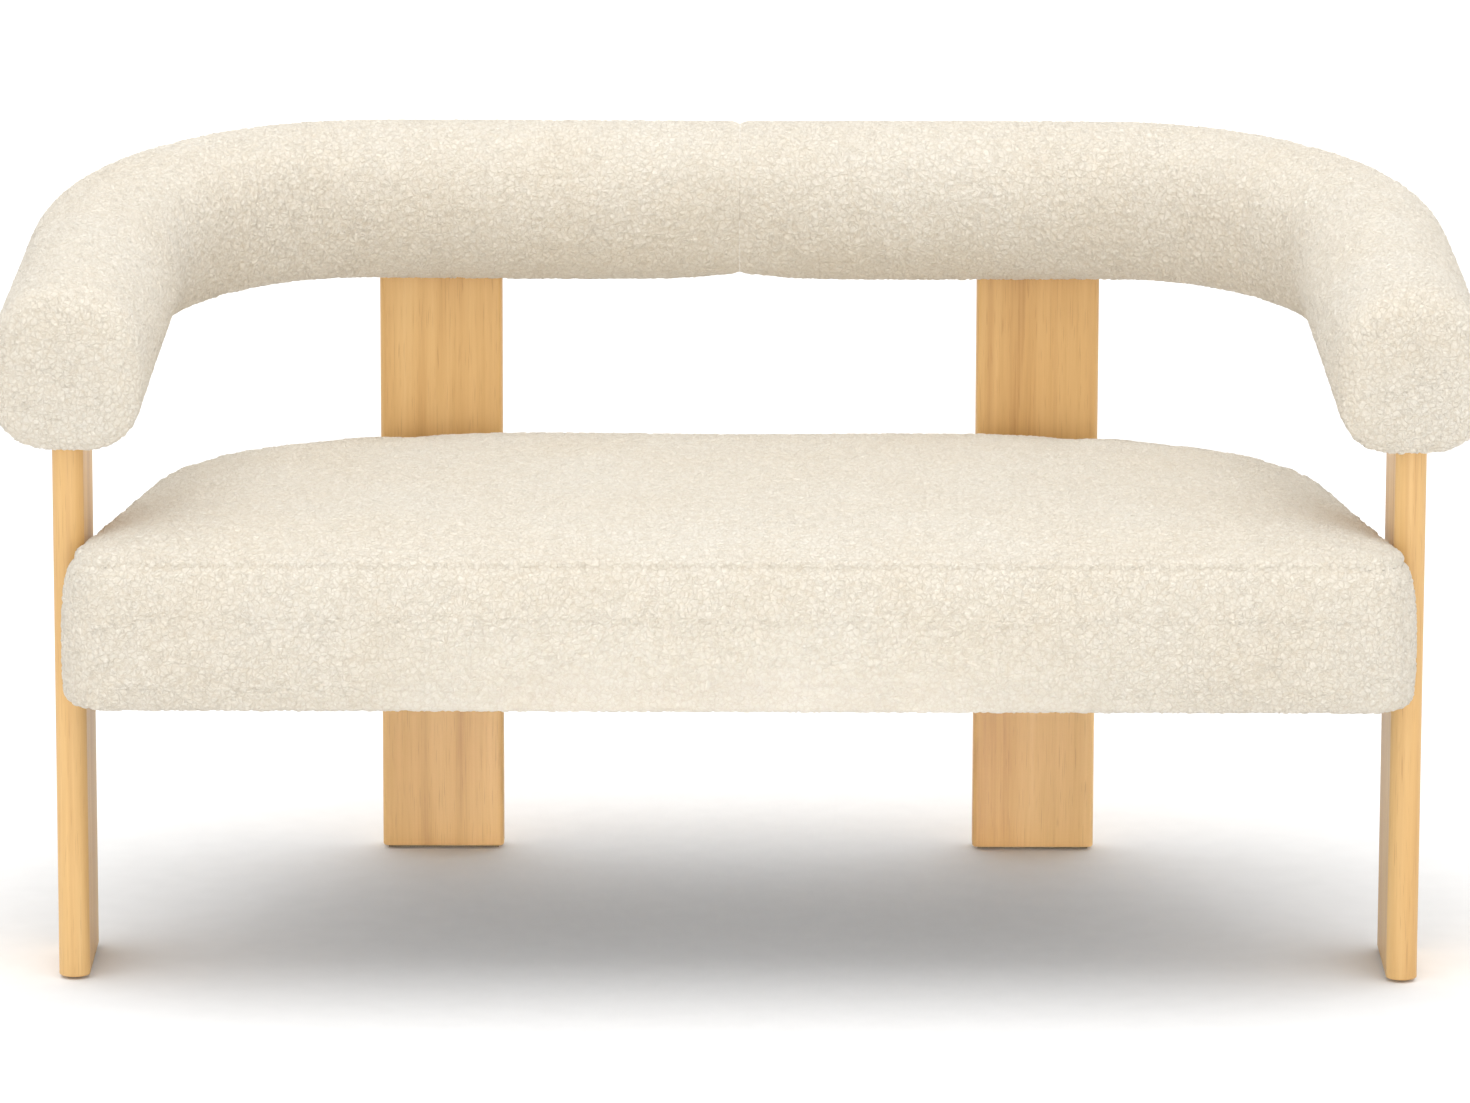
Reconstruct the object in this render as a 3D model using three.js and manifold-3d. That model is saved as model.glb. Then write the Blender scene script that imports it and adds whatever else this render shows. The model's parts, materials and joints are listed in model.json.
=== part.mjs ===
// A two-seat sofa: a seat and a bent bolster, the back and the arms in one, on four upright slab legs.
// Millimetres, +Z up, the front faces -Y. The origin is on the floor, under the middle of the sofa.
import * as THREE from "three";
import { mergeVertices } from "three/addons/utils/BufferGeometryUtils.js";
import Module from "manifold-3d";

const wasm = await Module();
wasm.setup();

// ---- driving dimensions ----
const DEPTH = 700; // from the seat's front face to the bolster's back
const HEIGHT = 762;
const GAP = 0.3; // between neighbours that touch on the real sofa
const CLOTH = 3; // thickness of the looped cloth

const LEG = { thick: 30, nose: 10, corner: 6 };
const FRONT_LEG = { x: 649, y: -194.5, wide: 140 }; // x and y are the middle of the section
const REAR_LEG = { x: 305, y: 276, wide: 125 };
const FOOT_PAD = { margin: 5.5, thick: 2 };

const SEAT = { bottom: 290, top: 442, edge: 12 };
const SEAT_REAR = REAR_LEG.y - LEG.thick / 2 - GAP;
const REAR_CORNER = { x: 316, y: SEAT_REAR - 284, radius: 284 };
const FRONT_CORNER = { x: 603, y: 50 - DEPTH / 2, radius: 50 };
const RAIL = { inset: 16, thick: 22, height: 84, legInset: 8, frontJoint: 580 };
const MIDDLE_RAIL = { thick: 22, height: 60 };
const CORNER_BLOCK = 125; // length of the two sides that meet in the corner
const WEBBING = { width: 60, thick: 2, inset: 18, rows: [-425, -255, -85, 85, 255, 425] };
const DUST_CLOTH = { inset: 26, thick: 1.2 };

const ROLL = {
  halfWide: 77, // half of the bolster's section in its own plane
  halfTall: 80,
  straight: 372, // half of the straight back
  bend: 262, // bend radius of its middle line
  bendSteps: 8,
  arm: 320, // straight length of an arm
  splay: 2.7, // degrees that the arms open towards the front
  tilt: 7.1, // degrees that it drops towards the front
  sides: 16,
};
const SEAM_STEP = 4; // the seam near each inner corner, in steps round the bend
const CAP = { length: 16, edge: 12 };
const BOARD = { wide: 60, thick: 30, jointStep: 2 };
const SPLICE = { length: 120, wide: 44, thick: 9 };

const SEAT_BOLT = { radius: 4, headRadius: 7, headHeight: 5, recess: 3, intoLeg: 24, offset: 36, z: 335 };
const BOARD_SCREW = { radius: 3, headRadius: 6, headHeight: 4, length: 72, offset: 36 };

// ---- materials ----
const FINISHES = {
  boucle: { color: 0xf0e8d8, roughness: 0.95, metalness: 0 },
  wood: { color: 0xdcb27a, roughness: 0.5, metalness: 0 },
  plywood: { color: 0xc9a878, roughness: 0.7, metalness: 0 },
  foam: { color: 0xeee6c4, roughness: 0.9, metalness: 0 },
  webbing: { color: 0x3b3b3d, roughness: 0.85, metalness: 0 },
  dust_cloth: { color: 0x1f1f20, roughness: 0.95, metalness: 0 },
  steel: { color: 0x9a9c9e, roughness: 0.35, metalness: 1 },
  felt: { color: 0x8a7a66, roughness: 0.95, metalness: 0 },
};
const SIDES = { left: -1, right: 1 };
const FAR = 2000; // beyond the sofa in every direction
const SLAB_CURVE = 2; // curve segments of small round corners
const SEAT_CURVE = 4; // curve segments of the seat's corners
const FASTENER_SIDES = 8;
const radians = THREE.MathUtils.degToRad;

// ---- solids ----
// A closed geometry as a solid that can be joined and cut.
function solid(geometry) {
  const bare = geometry.clone();
  bare.deleteAttribute("normal");
  bare.deleteAttribute("uv");
  const merged = mergeVertices(bare, 1e-4);
  const mesh = new wasm.Mesh({
    numProp: 3,
    vertProperties: merged.attributes.position.array,
    triVerts: new Uint32Array(merged.index.array),
  });
  return new wasm.Manifold(mesh);
}

function geometryOf(body) {
  const mesh = body.getMesh();
  const geometry = new THREE.BufferGeometry();
  geometry.setAttribute("position", new THREE.BufferAttribute(mesh.vertProperties, 3));
  geometry.setIndex(new THREE.BufferAttribute(mesh.triVerts, 1));
  geometry.computeVertexNormals();
  return geometry;
}

function cut(body, rooms) {
  return rooms.reduce((rest, room) => rest.subtract(room), body);
}

function block(low, high) {
  const size = high.map((value, axis) => value - low[axis]);
  const middle = high.map((value, axis) => (value + low[axis]) / 2);
  return new THREE.BoxGeometry(...size).translate(...middle);
}

function upright(shape, low, high, curveSegments = SLAB_CURVE) {
  const options = { depth: high - low, bevelEnabled: false, curveSegments };
  return new THREE.ExtrudeGeometry(shape, options).translate(0, 0, low);
}

function turned(profile, sides) {
  const points = profile.map(([radius, height]) => new THREE.Vector2(radius, height));
  return new THREE.LatheGeometry(points, sides);
}

// ---- the bolster's own frame: the roll lies in its XY plane, with the middle of the back at its origin ----
const rollFrame = new THREE.Matrix4()
  .makeRotationX(radians(ROLL.tilt))
  .setPosition(0, DEPTH / 2 - ROLL.halfWide, HEIGHT - ROLL.halfTall);
const bendAngle = radians(90 - ROLL.splay);
const bendLength = ROLL.bend * bendAngle;
const rollLength = ROLL.straight + bendLength + ROLL.arm; // from the middle to one end
const bendStep = bendLength / ROLL.bendSteps;

function inRollFrame(geometry) {
  return geometry.applyMatrix4(rollFrame);
}

// The middle line's point and direction at a length from the middle of the back, negative to the left.
function rollStation(length) {
  const side = Math.sign(length) || 1;
  const along = Math.abs(length);
  const angle = THREE.MathUtils.clamp((along - ROLL.straight) / ROLL.bend, 0, bendAngle);
  const before = Math.min(along, ROLL.straight);
  const after = Math.max(along - ROLL.straight - bendLength, 0);
  const x = before + ROLL.bend * Math.sin(angle) + after * Math.cos(angle);
  const y = -ROLL.bend * (1 - Math.cos(angle)) - after * Math.sin(angle);
  return {
    point: new THREE.Vector3(side * x, y, 0),
    tangent: new THREE.Vector3(Math.cos(angle), -side * Math.sin(angle), 0),
  };
}

// The stretch of the middle line between two lengths, with a station at each step of the bends.
class RollStretch extends THREE.Curve {
  constructor(from, to) {
    super();
    const steps = Array.from({ length: ROLL.bendSteps + 1 }, (_, i) => ROLL.straight + i * bendStep);
    const marks = [...steps, ...steps.map((step) => -step)].filter((mark) => mark > from && mark < to);
    this.stations = [from, ...marks.sort((a, b) => a - b), to].map(rollStation);
  }
  at(t) {
    return this.stations[Math.round(t * (this.stations.length - 1))];
  }
  getPoint(t, target = new THREE.Vector3()) {
    return target.copy(this.at(t).point);
  }
  getTangent(t, target = new THREE.Vector3()) {
    return target.copy(this.at(t).tangent);
  }
  getUtoTmapping(u) {
    return u;
  }
}

// A section, drawn with x down and y across, swept along the roll between two lengths from its middle.
function swept(section, from, to) {
  const stretch = new RollStretch(from, to);
  const options = {
    extrudePath: stretch,
    steps: stretch.stations.length - 1,
    curveSegments: ROLL.sides / 2,
  };
  return inRollFrame(new THREE.ExtrudeGeometry(section, options));
}

function rollSection(inset) {
  const shape = new THREE.Shape();
  shape.absellipse(0, 0, ROLL.halfTall - inset, ROLL.halfWide - inset, 0, 2 * Math.PI, false);
  return shape;
}

function stripSection(low, high, wide) {
  const shape = new THREE.Shape();
  shape.moveTo(-high, -wide / 2);
  shape.lineTo(-low, -wide / 2);
  shape.lineTo(-low, wide / 2);
  shape.lineTo(-high, wide / 2);
  return shape;
}

// ---- legs ----
// A slab's section: a rectangle with round corners, its broad faces along X.
function slabSection(wide, margin = 0) {
  const x = wide / 2 - LEG.corner;
  const y = LEG.thick / 2 - LEG.corner;
  const radius = LEG.corner - margin;
  const shape = new THREE.Shape();
  shape.absarc(x, y, radius, 0, Math.PI / 2, false);
  shape.absarc(-x, y, radius, Math.PI / 2, Math.PI, false);
  shape.absarc(-x, -y, radius, Math.PI, 1.5 * Math.PI, false);
  shape.absarc(x, -y, radius, 1.5 * Math.PI, 2 * Math.PI, false);
  return shape;
}

// A front leg's section: its broad faces along Y, and its narrow edges swell out as arcs.
function nosedSection() {
  const half = LEG.thick / 2;
  const radius = (half * half + LEG.nose * LEG.nose) / (2 * LEG.nose);
  const centre = FRONT_LEG.wide / 2 - radius;
  const reach = Math.asin(half / radius);
  const shape = new THREE.Shape();
  shape.absarc(0, centre, radius, Math.PI / 2 - reach, Math.PI / 2 + reach, false);
  shape.absarc(0, -centre, radius, -Math.PI / 2 - reach, -Math.PI / 2 + reach, false);
  return shape;
}

const LEGS = Object.entries(SIDES).flatMap(([side, sign]) => [
  {
    name: "front_" + side,
    at: new THREE.Vector3(sign * FRONT_LEG.x, FRONT_LEG.y, 0),
    half: [LEG.thick / 2, FRONT_LEG.wide / 2],
    section: nosedSection(),
    padWide: FRONT_LEG.wide - 2 * LEG.nose,
    padTurn: Math.PI / 2,
    outward: new THREE.Vector3(sign, 0, 0), // from the seat towards the leg
    across: new THREE.Vector3(0, 1, 0),
  },
  {
    name: "rear_" + side,
    at: new THREE.Vector3(sign * REAR_LEG.x, REAR_LEG.y, 0),
    half: [REAR_LEG.wide / 2, LEG.thick / 2],
    section: slabSection(REAR_LEG.wide),
    padWide: REAR_LEG.wide,
    padTurn: 0,
    outward: new THREE.Vector3(0, 1, 0),
    across: new THREE.Vector3(1, 0, 0),
  },
]);

// Everything above a level that lies a drop below the underside of the bolster's boards.
function aboveBoards(drop) {
  return solid(inRollFrame(block([-FAR, -FAR, -BOARD.thick / 2 - drop], [FAR, FAR, FAR])));
}

// The upright room round a leg that the upholstery leaves free.
function legRoom(leg, margin) {
  const [halfX, halfY] = leg.half.map((half) => half + margin);
  const low = [leg.at.x - halfX, leg.at.y - halfY, -FAR];
  const high = [leg.at.x + halfX, leg.at.y + halfY, FAR];
  return solid(block(low, high));
}

function legRooms(margin) {
  return LEGS.map((leg) => legRoom(leg, margin));
}

// ---- fasteners ----
// A round-headed fastener and the room it needs. The head bears at seat, and the shank runs along way.
function fastener(seat, way, size, length, headRoom) {
  const { radius, headRadius, headHeight } = size;
  const turn = new THREE.Quaternion().setFromUnitVectors(new THREE.Vector3(0, -1, 0), way);
  const place = (geometry) => solid(geometry.applyQuaternion(turn).translate(seat.x, seat.y, seat.z));
  const shape = (margin, top) => [
    [0, -length - margin],
    [radius + margin, -length - margin],
    [radius + margin, -margin],
    [headRadius + margin, -margin],
    [headRadius + margin, top],
    [0, top],
  ];
  return {
    body: place(turned(shape(0, headHeight), FASTENER_SIDES)),
    room: place(turned(shape(GAP, headHeight + headRoom), FASTENER_SIDES)),
  };
}

const seatSplay = splayOfSeat(); // how far the seat's sides turn from straight back

// The seat's sides are the lines that touch the front and the rear corner's arcs.
function splayOfSeat() {
  const x = FRONT_CORNER.x - REAR_CORNER.x;
  const y = FRONT_CORNER.y - REAR_CORNER.y;
  return Math.acos((REAR_CORNER.radius - FRONT_CORNER.radius) / Math.hypot(x, y)) + Math.atan2(y, x);
}

// Where the seat rail's inner face is beside a leg, at a distance across from the leg's middle.
function railFace(leg, offset) {
  const inset = RAIL.inset + RAIL.thick;
  if (leg.outward.x === 0) return SEAT_REAR - inset;
  const y = leg.at.y + offset;
  const reach = FRONT_CORNER.radius - inset - (y - FRONT_CORNER.y) * Math.sin(seatSplay);
  return FRONT_CORNER.x + reach / Math.cos(seatSplay);
}

function seatBolt(leg, offset) {
  const legFace = Math.abs(leg.at.dot(leg.outward)) - LEG.thick / 2;
  const seatFace = railFace(leg, offset) + SEAT_BOLT.recess;
  const seat = leg.at.clone().addScaledVector(leg.across, offset);
  seat.addScaledVector(leg.outward, seatFace - legFace - LEG.thick / 2);
  seat.z = SEAT_BOLT.z;
  const length = legFace + SEAT_BOLT.intoLeg - seatFace;
  return fastener(seat, leg.outward, SEAT_BOLT, length, 2 * SEAT_BOLT.recess);
}

function boardScrew(leg, offset) {
  const spot = leg.at.clone().addScaledVector(leg.across, offset);
  const backLine = new THREE.Vector3().setFromMatrixPosition(rollFrame);
  const local = new THREE.Vector3(spot.x, (spot.y - backLine.y) / Math.cos(radians(ROLL.tilt)), 0);
  local.z = BOARD.thick / 2 + GAP;
  const seat = local.applyMatrix4(rollFrame);
  const way = new THREE.Vector3(0, 0, -1).transformDirection(rollFrame);
  return fastener(seat, way, BOARD_SCREW, BOARD_SCREW.length, GAP);
}

function pairs(make, size) {
  return LEGS.flatMap((leg) =>
    ["a", "b"].map((letter, i) => {
      const offset = i ? size.offset : -size.offset;
      return { name: leg.name + "_" + letter, ...make(leg, offset) };
    }),
  );
}

const seatBolts = pairs(seatBolt, SEAT_BOLT);
const boardScrews = pairs(boardScrew, BOARD_SCREW);
const boltRooms = seatBolts.map((bolt) => bolt.room);
const screwRooms = boardScrews.map((screw) => screw.room);

// ---- the sofa ----
const sofa = new THREE.Group();
sofa.name = "sofa";

function addPart(name, body, finish) {
  const mesh = new THREE.Mesh(geometryOf(body), new THREE.MeshStandardMaterial(FINISHES[finish]));
  mesh.name = name;
  sofa.add(mesh);
}

function addLegs() {
  const bottom = FOOT_PAD.thick + GAP;
  for (const leg of LEGS) {
    const slab = solid(upright(leg.section, bottom, HEIGHT).translate(leg.at.x, leg.at.y, 0));
    addPart("leg_" + leg.name, cut(slab, [aboveBoards(GAP), ...boltRooms, ...screwRooms]), "wood");
    const pad = upright(slabSection(leg.padWide, FOOT_PAD.margin), 0, FOOT_PAD.thick);
    pad.rotateZ(leg.padTurn).translate(leg.at.x, leg.at.y, 0);
    addPart("foot_pad_" + leg.name, solid(pad), "felt");
  }
}

function addFasteners() {
  for (const bolt of seatBolts) addPart("seat_bolt_" + bolt.name, bolt.body, "steel");
  for (const screw of boardScrews) addPart("board_screw_" + screw.name, screw.body, "steel");
}

// ---- seat ----
function seatOutline(inset) {
  const { x, y, radius } = FRONT_CORNER;
  const rear = REAR_CORNER;
  const turn = Math.PI / 2;
  const shape = new THREE.Shape();
  shape.absarc(x, y, radius - inset, -turn, seatSplay, false);
  shape.absarc(rear.x, rear.y, rear.radius - inset, seatSplay, turn, false);
  shape.absarc(-rear.x, rear.y, rear.radius - inset, turn, 2 * turn - seatSplay, false);
  shape.absarc(-x, y, radius - inset, 2 * turn - seatSplay, 3 * turn, false);
  return shape;
}

// The seat's outer form drawn in by an inset all round, notched beside the legs.
function seatForm(inset) {
  const edge = SEAT.edge - inset;
  const height = SEAT.top - SEAT.bottom - 2 * SEAT.edge;
  const options = {
    depth: height,
    bevelSize: edge,
    bevelThickness: edge,
    bevelSegments: 2,
    curveSegments: SEAT_CURVE,
  };
  const form = new THREE.ExtrudeGeometry(seatOutline(SEAT.edge), options);
  form.translate(0, 0, SEAT.bottom + SEAT.edge);
  return cut(solid(form), legRooms(GAP + inset));
}

function seatPrism(inset, low, high) {
  return solid(upright(seatOutline(inset), low, high, SEAT_CURVE));
}

function slice(body, low, high) {
  return body.intersect(solid(block([-FAR, -FAR, low], [FAR, FAR, high])));
}

function addSeat() {
  const railBottom = SEAT.bottom + CLOTH + GAP;
  const railTop = railBottom + RAIL.height;
  const webbingBottom = railTop + GAP;
  const webbingTop = webbingBottom + WEBBING.thick;

  // frame
  const ring = cut(seatPrism(RAIL.inset, railBottom, railTop), [
    seatPrism(RAIL.inset + RAIL.thick, 0, HEIGHT),
    ...legRooms(RAIL.legInset),
    ...boltRooms,
  ]);
  const { frontJoint } = RAIL;
  const rearJoint = REAR_CORNER.x;
  const frontPart = solid(block([-frontJoint, -FAR, 0], [frontJoint, FRONT_CORNER.y, HEIGHT]));
  const rearPart = solid(block([-rearJoint, REAR_CORNER.y, 0], [rearJoint, FAR, HEIGHT]));
  addPart("seat_rail_front", ring.intersect(frontPart), "plywood");
  addPart("seat_rail_rear", ring.intersect(rearPart), "plywood");
  for (const [side, sign] of Object.entries(SIDES)) {
    const inner = rearJoint + GAP;
    const sidePart = block([inner, -FAR, 0], [FAR, FAR, HEIGHT]).applyMatrix4(mirrorTo(sign));
    const frontEnd = solid(block([-frontJoint - GAP, -FAR, 0], [frontJoint + GAP, FRONT_CORNER.y, HEIGHT]));
    const rail = ring.intersect(solid(sidePart)).subtract(frontEnd);
    addPart("seat_rail_" + side, rail, "plywood");
    addPart("seat_corner_block_" + side, cornerBlock(sign, railBottom, railTop), "plywood");
  }
  const inset = RAIL.inset + RAIL.thick + GAP;
  const middle = block(
    [-MIDDLE_RAIL.thick / 2, -DEPTH / 2 + inset, railBottom],
    [MIDDLE_RAIL.thick / 2, SEAT_REAR - inset, railBottom + MIDDLE_RAIL.height],
  );
  addPart("seat_rail_middle", solid(middle), "plywood");

  const webbingArea = seatPrism(WEBBING.inset, webbingBottom, webbingTop);
  WEBBING.rows.forEach((x, i) => {
    const strap = solid(block([x - WEBBING.width / 2, -FAR, 0], [x + WEBBING.width / 2, FAR, HEIGHT]));
    addPart("seat_webbing_" + (i + 1), webbingArea.intersect(strap), "webbing");
  });

  // foam, with a pocket underneath for the frame
  const pocket = cut(seatPrism(RAIL.inset - GAP, 0, webbingTop + GAP), legRooms(RAIL.legInset - GAP));
  const foam = cut(seatForm(CLOTH + GAP), [pocket, ...boltRooms]);
  addPart("seat_foam", foam, "foam");

  // cover: a top panel, and a band that turns under the frame
  const cover = cut(seatForm(0), [
    seatForm(CLOTH),
    seatPrism(DUST_CLOTH.inset, 0, (SEAT.bottom + SEAT.top) / 2),
    ...boltRooms,
  ]);
  const seam = SEAT.top - SEAT.edge;
  addPart("seat_cover_top", slice(cover, seam + GAP / 2, FAR), "boucle");
  addPart("seat_cover_band", slice(cover, 0, seam - GAP / 2), "boucle");
  const dustTop = railBottom - GAP;
  const dust = seatPrism(DUST_CLOTH.inset + GAP, dustTop - DUST_CLOTH.thick, dustTop);
  addPart("seat_dust_cloth", dust, "dust_cloth");
}

// Half a turn about the upright axis for the left side. The solids it is used on are alike front to back.
function mirrorTo(sign) {
  return new THREE.Matrix4().makeRotationZ(sign > 0 ? 0 : Math.PI);
}

// A glued block in the corner between the front rail and a side rail.
function cornerBlock(sign, low, high) {
  const x = FRONT_CORNER.x + FRONT_CORNER.radius;
  const y = -DEPTH / 2;
  const triangle = new THREE.Shape();
  triangle.moveTo(sign * x, y);
  triangle.lineTo(sign * (x - CORNER_BLOCK), y);
  triangle.lineTo(sign * x, y + CORNER_BLOCK);
  const inner = seatPrism(RAIL.inset + RAIL.thick + GAP, low, high);
  return inner.intersect(solid(upright(triangle, low, high)));
}

// ---- bolster ----
// A piece turned about the roll's end: y runs out along the arm from the cap's inner rim.
function atRollEnd(geometry, sign) {
  const { tangent } = rollStation(sign * rollLength);
  const { point } = rollStation(sign * (rollLength - CAP.length));
  const outward = tangent.clone().multiplyScalar(sign);
  const up = new THREE.Vector3(0, 0, ROLL.halfTall / ROLL.halfWide);
  const across = outward.clone().cross(new THREE.Vector3(0, 0, 1));
  const place = new THREE.Matrix4().makeBasis(across, outward, up).setPosition(point);
  return solid(inRollFrame(geometry.applyMatrix4(place)));
}

// The end's profile from its base to the axis, with a rounded edge, drawn in by an inset.
function endProfile(inset, base) {
  const edge = CAP.edge - inset;
  const steps = 2;
  const arc = Array.from({ length: steps + 1 }, (_, i) => {
    const angle = (i / steps) * (Math.PI / 2);
    const radius = ROLL.halfWide - CAP.edge + edge * Math.cos(angle);
    return [radius, CAP.length - CAP.edge + edge * Math.sin(angle)];
  });
  return [[ROLL.halfWide - inset, base], ...arc, [0, CAP.length - inset]];
}

function addBolster() {
  const seam = ROLL.straight + SEAM_STEP * bendStep;
  const bendEnd = ROLL.straight + bendLength;
  const capStart = rollLength - CAP.length;
  const joint = ROLL.straight + BOARD.jointStep * bendStep;
  const boardEnd = capStart - GAP;
  const boardTop = BOARD.thick / 2;
  const boardSection = stripSection(-boardTop, boardTop, BOARD.wide);
  const spliceSection = stripSection(boardTop + GAP, boardTop + GAP + SPLICE.thick, SPLICE.wide);
  const boardRoom = solid(
    swept(stripSection(-boardTop - GAP, boardTop + GAP, BOARD.wide + 2 * GAP), -rollLength, rollLength),
  );
  const spliceTop = boardTop + 2 * GAP + SPLICE.thick;
  const spliceReach = SPLICE.length / 2;
  const spliceRooms = Object.values(SIDES).map((sign) => {
    const section = stripSection(boardTop, spliceTop, SPLICE.wide + 2 * GAP);
    return sweptTo(section, sign, joint - spliceReach - GAP, joint + spliceReach + GAP);
  });
  const inside = [boardRoom, ...spliceRooms, ...screwRooms];
  const foamSection = rollSection(CLOTH + GAP);
  const sockets = legRooms(GAP).map((room) => room.subtract(aboveBoards(0)));
  const foamRooms = [...inside, ...sockets];

  const backBoard = solid(swept(boardSection, -joint + GAP / 2, joint - GAP / 2));
  addPart("bolster_board_back", cut(backBoard, screwRooms), "plywood");
  const backEnd = ROLL.straight - GAP / 2;
  addPart("bolster_foam_back", cut(solid(swept(foamSection, -backEnd, backEnd)), foamRooms), "foam");

  const coverSection = rollSection(0);
  coverSection.holes.push(rollSection(CLOTH));
  for (const [side, sign] of Object.entries(SIDES)) {
    const board = sweptTo(boardSection, sign, joint + GAP / 2, boardEnd);
    addPart("bolster_board_" + side, cut(board, screwRooms), "plywood");
    const splice = sweptTo(spliceSection, sign, joint - spliceReach, joint + spliceReach);
    addPart("bolster_splice_" + side, splice, "plywood");

    const corner = sweptTo(foamSection, sign, ROLL.straight + GAP / 2, bendEnd - GAP / 2);
    addPart("bolster_foam_corner_" + side, cut(corner, foamRooms), "foam");
    const arm = sweptTo(foamSection, sign, bendEnd + GAP / 2, capStart - GAP);
    addPart("bolster_foam_arm_" + side, cut(arm, foamRooms), "foam");
    const endPad = turned([[0, 0], ...endProfile(CLOTH + GAP, 0)], ROLL.sides);
    addPart("bolster_foam_end_" + side, atRollEnd(endPad, sign), "foam");

    const back = sweptTo(coverSection, sign, GAP / 2, seam - GAP / 2);
    addPart("bolster_cover_back_" + side, cut(back, sockets), "boucle");
    const armCover = sweptTo(coverSection, sign, seam + GAP / 2, capStart - GAP);
    addPart("bolster_cover_arm_" + side, cut(armCover, sockets), "boucle");
    const lining = endProfile(CLOTH, 0).reverse();
    const cap = turned([...lining, ...endProfile(0, 0)], ROLL.sides);
    addPart("bolster_cap_" + side, atRollEnd(cap, sign), "boucle");
  }
}

// A section swept along one side of the roll, between two lengths from its middle.
function sweptTo(section, sign, near, far) {
  return solid(sign > 0 ? swept(section, near, far) : swept(section, -far, -near));
}

addLegs();
addFasteners();
addSeat();
addBolster();

export default sofa;
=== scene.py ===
"""A two-seat sofa round its CAD frame.

Bouclé upholstery covers a bent bolster and a flat seat, on honey-coloured slab legs.
"""

import json
import math
from itertools import product

import bmesh
import bpy
import numpy as np
from mathutils import Matrix, Vector


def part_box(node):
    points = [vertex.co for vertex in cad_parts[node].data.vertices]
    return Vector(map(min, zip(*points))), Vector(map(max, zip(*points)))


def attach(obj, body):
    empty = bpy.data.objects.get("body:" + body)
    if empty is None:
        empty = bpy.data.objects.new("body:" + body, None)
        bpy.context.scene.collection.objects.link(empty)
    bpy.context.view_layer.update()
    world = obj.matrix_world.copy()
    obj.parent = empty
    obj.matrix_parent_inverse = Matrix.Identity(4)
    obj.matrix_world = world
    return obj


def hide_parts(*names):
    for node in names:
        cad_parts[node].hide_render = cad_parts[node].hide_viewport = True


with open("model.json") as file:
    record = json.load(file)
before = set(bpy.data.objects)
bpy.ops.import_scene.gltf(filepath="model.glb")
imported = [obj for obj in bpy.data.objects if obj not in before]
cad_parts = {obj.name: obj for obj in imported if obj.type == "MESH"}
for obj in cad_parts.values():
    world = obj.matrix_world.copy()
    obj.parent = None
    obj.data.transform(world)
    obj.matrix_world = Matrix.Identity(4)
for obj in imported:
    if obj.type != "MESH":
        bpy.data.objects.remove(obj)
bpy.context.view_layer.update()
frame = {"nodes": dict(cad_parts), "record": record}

SIDES = {"left": -1, "right": 1}

# ---- driving dimensions, in metres: the bolster's middle line, as in the CAD ----
HALF_WIDE = 0.077
HALF_TALL = 0.080
STRAIGHT = 0.372  # half of the straight back
BEND = 0.262  # bend radius
ARM = 0.320
BEND_ANGLE = math.radians(90 - 2.7)
TILT = math.radians(7.1)
ROLL_ORIGIN = Vector((0, 0.273, 0.682))
BEND_LENGTH = BEND * BEND_ANGLE
ROLL_LENGTH = STRAIGHT + BEND_LENGTH + ARM
CORNER_SEAM = STRAIGHT + BEND_LENGTH / 2
SQUARENESS = (3.1, 2.35)  # exponents of the section's lower and upper half, where 2 is an ellipse
END_EDGE = (0.008, 0.038)  # rounding of the bolster's ends at the bottom and at the top
END_SAG = 0.005  # how much fuller the bolster's ends are underneath
END_SAG_REACH = 0.09
WAIST = (0.0048, 0.042)  # how far the middle seam draws the bolster in underneath, and over what length
END_TURN = math.radians(72)  # how far round it the cap's seam lies
END_START = ROLL_LENGTH - END_EDGE[1] - 0.002
STATIONS = 2000  # steps along the middle line where its direction is looked up
ROLL_FRAME = Matrix.Translation(ROLL_ORIGIN) @ Matrix.Rotation(TILT, 4, "X")

# ---- the seat's plan ----
SEAT_SEAM = (0.0105, 0.430)  # inset and height of the seam between the top panel and the band
REAR_CORNER = (0.316, -0.0233, 0.284)  # middle x and y, radius
FRONT_CORNER = (0.603, -0.300, 0.050)
DUST_INSET = 0.026  # how far the band turns in under the seat
DUST_LAP = 0.004  # how far the dust sheet laps over it
UNDERSIDE = 0.2925  # height below which the seat's faces are its underside
SEAT_MIDDLE = 0.36  # height halfway up the band: the top panel's faces are all above it
SEAM_PINNED = 0.006  # how far each side of the seam the swelling cloth is held
HEM = 0.006  # how far the band's lower edge is turned up inside

LEG_THICK = 0.030
LEG_NOSE = 0.010  # how far a front leg's narrow edges swell out
LEG_CORNER = 0.006
LEG_FOOT_EDGE = 0.0025  # rounding at the foot

# ---- how the padded pieces swell ----
CLOTH_PRESSURE = 4
CLOTH_FRAMES = 20
ROLL_CAP = 0.009  # how far a point may move, in each kind of piece
END_CAP = 0.005
SEAT_CAP = 0.014
CLOSE = 0.001  # points nearer to a seam than this count as on it
SEAT_VOXEL = 0.010
CAP_VOXEL = 0.0045


# ---- meshes ----
def new_object(name, mesh):
    piece = bpy.data.objects.new(name, mesh)
    bpy.context.scene.collection.objects.link(piece)
    return piece


def mesh_from(name, points, faces):
    mesh = bpy.data.meshes.new(name)
    mesh.from_pydata([tuple(p) for p in points], [], faces)
    mesh.update()
    return mesh


def ring_faces(rings, count):
    """Quads between rings of count points each, and a face at either end."""
    faces = []
    for i in range(rings - 1):
        for j in range(count):
            a, b = i * count + j, i * count + (j + 1) % count
            faces.append((a, b, b + count, a + count))
    last = (rings - 1) * count
    return faces + [tuple(reversed(range(count))), tuple(range(last, last + count))]


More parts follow.
